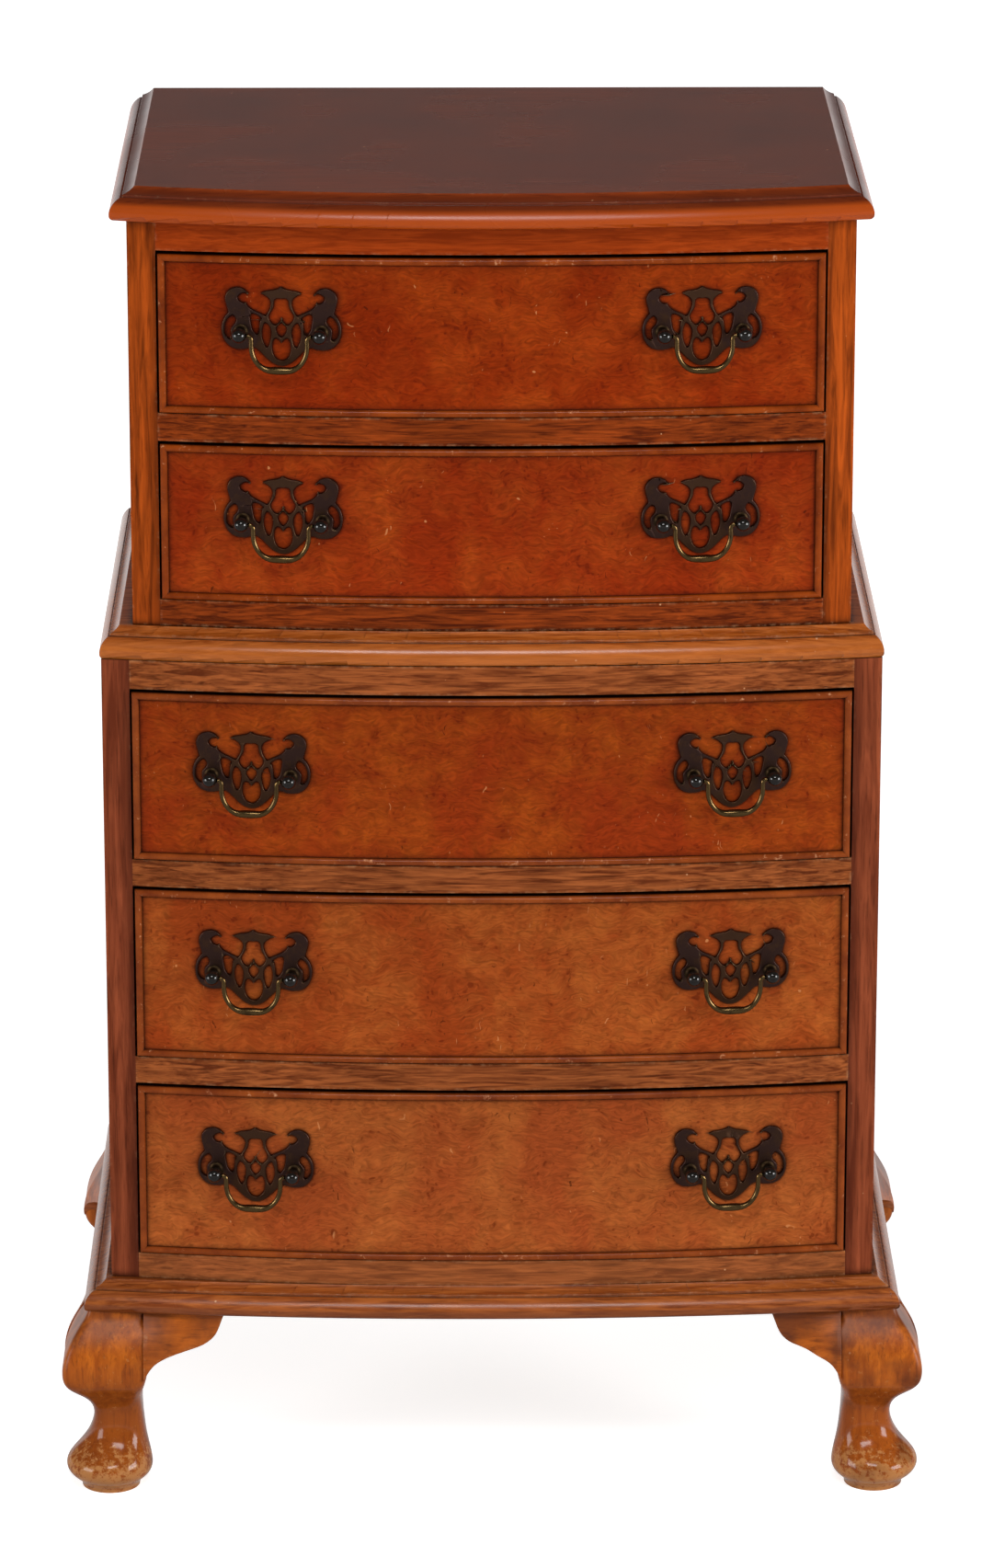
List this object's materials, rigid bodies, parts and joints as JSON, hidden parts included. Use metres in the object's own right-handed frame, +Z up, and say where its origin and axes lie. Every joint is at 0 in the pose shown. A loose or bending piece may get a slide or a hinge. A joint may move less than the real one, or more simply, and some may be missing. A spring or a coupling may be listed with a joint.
{
  "type": "highboy",
  "caption": "Bow-front chest-on-chest in burr walnut with sliding drawers, pierced drop handles and short cabriole legs with pad feet.",
  "frame": {"origin": "on the floor, under the middle of the object's bounding box", "axes": "+Z up, -Y towards the front, +X to the right as seen from the front"},
  "size_m": [0.5636, 0.356, 0.869],
  "materials": {
    "case_walnut": "polished",
    "rail_walnut": "polished",
    "burr_veneer": "polished",
    "bead_wood": "polished",
    "leg_walnut": "polished",
    "drawer_lining": "raw",
    "inner_wood": "raw",
    "plate_brass": "antiqued",
    "post_brass": "antiqued",
    "bail_brass": "antiqued"
  },
  "bodies": {
    "carcass": {"top_board": "case_walnut", "waist_board": "case_walnut", "base_frame": "case_walnut", "upper_side_left": "case_walnut", "upper_side_right": "case_walnut", "lower_side_left": "case_walnut", "lower_side_right": "case_walnut", "upper_rails": "rail_walnut", "lower_rails": "rail_walnut", "upper_back": "inner_wood", "lower_back": "inner_wood", "upper_bottom": "inner_wood", "lower_bottom": "inner_wood", "upper_guides": "inner_wood", "lower_guides": "inner_wood", "leg_front_left": "leg_walnut", "leg_front_right": "leg_walnut", "leg_rear_left": "leg_walnut", "leg_rear_right": "leg_walnut", "knee_brackets": "leg_walnut"},
    "drawer_upper_1": {"drawer_upper_1_front": "burr_veneer", "drawer_upper_1_beads": "bead_wood", "drawer_upper_1_box": "drawer_lining", "drawer_upper_1_bottom": "drawer_lining", "drawer_upper_1_plates": "plate_brass", "drawer_upper_1_posts": "post_brass"},
    "drawer_upper_1_bail_left": {"drawer_upper_1_bail_left": "bail_brass"},
    "drawer_upper_1_bail_right": {"drawer_upper_1_bail_right": "bail_brass"},
    "drawer_upper_2": {"drawer_upper_2_front": "burr_veneer", "drawer_upper_2_beads": "bead_wood", "drawer_upper_2_box": "drawer_lining", "drawer_upper_2_bottom": "drawer_lining", "drawer_upper_2_plates": "plate_brass", "drawer_upper_2_posts": "post_brass"},
    "drawer_upper_2_bail_left": {"drawer_upper_2_bail_left": "bail_brass"},
    "drawer_upper_2_bail_right": {"drawer_upper_2_bail_right": "bail_brass"},
    "drawer_lower_1": {"drawer_lower_1_front": "burr_veneer", "drawer_lower_1_beads": "bead_wood", "drawer_lower_1_box": "drawer_lining", "drawer_lower_1_bottom": "drawer_lining", "drawer_lower_1_plates": "plate_brass", "drawer_lower_1_posts": "post_brass"},
    "drawer_lower_1_bail_left": {"drawer_lower_1_bail_left": "bail_brass"},
    "drawer_lower_1_bail_right": {"drawer_lower_1_bail_right": "bail_brass"},
    "drawer_lower_2": {"drawer_lower_2_front": "burr_veneer", "drawer_lower_2_beads": "bead_wood", "drawer_lower_2_box": "drawer_lining", "drawer_lower_2_bottom": "drawer_lining", "drawer_lower_2_plates": "plate_brass", "drawer_lower_2_posts": "post_brass"},
    "drawer_lower_2_bail_left": {"drawer_lower_2_bail_left": "bail_brass"},
    "drawer_lower_2_bail_right": {"drawer_lower_2_bail_right": "bail_brass"},
    "drawer_lower_3": {"drawer_lower_3_front": "burr_veneer", "drawer_lower_3_beads": "bead_wood", "drawer_lower_3_box": "drawer_lining", "drawer_lower_3_bottom": "drawer_lining", "drawer_lower_3_plates": "plate_brass", "drawer_lower_3_posts": "post_brass"},
    "drawer_lower_3_bail_left": {"drawer_lower_3_bail_left": "bail_brass"},
    "drawer_lower_3_bail_right": {"drawer_lower_3_bail_right": "bail_brass"}
  },
  "joints": [
    {"name": "drawer_upper_1_slide", "type": "slide", "parent": "carcass", "child": "drawer_upper_1", "axis": [0, -1, 0], "range_m": [0, 0.22]},
    {"name": "drawer_upper_1_bail_left_swing", "type": "hinge", "parent": "drawer_upper_1", "child": "drawer_upper_1_bail_left", "pos_m": [-0.1333, -0.15888, 0.7791], "axis": [-0.9959, 0.0901, 0], "range_deg": [-20, 95]},
    {"name": "drawer_upper_1_bail_right_swing", "type": "hinge", "parent": "drawer_upper_1", "child": "drawer_upper_1_bail_right", "pos_m": [0.1333, -0.15888, 0.7791], "axis": [-0.9959, -0.0901, 0], "range_deg": [-20, 95]},
    {"name": "drawer_upper_2_slide", "type": "slide", "parent": "carcass", "child": "drawer_upper_2", "axis": [0, -1, 0], "range_m": [0, 0.22]},
    {"name": "drawer_upper_2_bail_left_swing", "type": "hinge", "parent": "drawer_upper_2", "child": "drawer_upper_2_bail_left", "pos_m": [-0.1333, -0.15888, 0.6566], "axis": [-0.9959, 0.0901, 0], "range_deg": [-20, 95]},
    {"name": "drawer_upper_2_bail_right_swing", "type": "hinge", "parent": "drawer_upper_2", "child": "drawer_upper_2_bail_right", "pos_m": [0.1333, -0.15888, 0.6566], "axis": [-0.9959, -0.0901, 0], "range_deg": [-20, 95]},
    {"name": "drawer_lower_1_slide", "type": "slide", "parent": "carcass", "child": "drawer_lower_1", "axis": [0, -1, 0], "range_m": [0, 0.22]},
    {"name": "drawer_lower_1_bail_left_swing", "type": "hinge", "parent": "drawer_lower_1", "child": "drawer_lower_1_bail_left", "pos_m": [-0.15492, -0.17076, 0.4916], "axis": [-0.9951, 0.0984, 0], "range_deg": [-20, 95]},
    {"name": "drawer_lower_1_bail_right_swing", "type": "hinge", "parent": "drawer_lower_1", "child": "drawer_lower_1_bail_right", "pos_m": [0.15492, -0.17076, 0.4916], "axis": [-0.9951, -0.0984, 0], "range_deg": [-20, 95]},
    {"name": "drawer_lower_2_slide", "type": "slide", "parent": "carcass", "child": "drawer_lower_2", "axis": [0, -1, 0], "range_m": [0, 0.22]},
    {"name": "drawer_lower_2_bail_left_swing", "type": "hinge", "parent": "drawer_lower_2", "child": "drawer_lower_2_bail_left", "pos_m": [-0.15492, -0.17076, 0.3586], "axis": [-0.9951, 0.0984, 0], "range_deg": [-20, 95]},
    {"name": "drawer_lower_2_bail_right_swing", "type": "hinge", "parent": "drawer_lower_2", "child": "drawer_lower_2_bail_right", "pos_m": [0.15492, -0.17076, 0.3586], "axis": [-0.9951, -0.0984, 0], "range_deg": [-20, 95]},
    {"name": "drawer_lower_3_slide", "type": "slide", "parent": "carcass", "child": "drawer_lower_3", "axis": [0, -1, 0], "range_m": [0, 0.22]},
    {"name": "drawer_lower_3_bail_left_swing", "type": "hinge", "parent": "drawer_lower_3", "child": "drawer_lower_3_bail_left", "pos_m": [-0.15492, -0.17076, 0.2236], "axis": [-0.9951, 0.0984, 0], "range_deg": [-20, 95]},
    {"name": "drawer_lower_3_bail_right_swing", "type": "hinge", "parent": "drawer_lower_3", "child": "drawer_lower_3_bail_right", "pos_m": [0.15492, -0.17076, 0.2236], "axis": [-0.9951, -0.0984, 0], "range_deg": [-20, 95]}
  ]
}
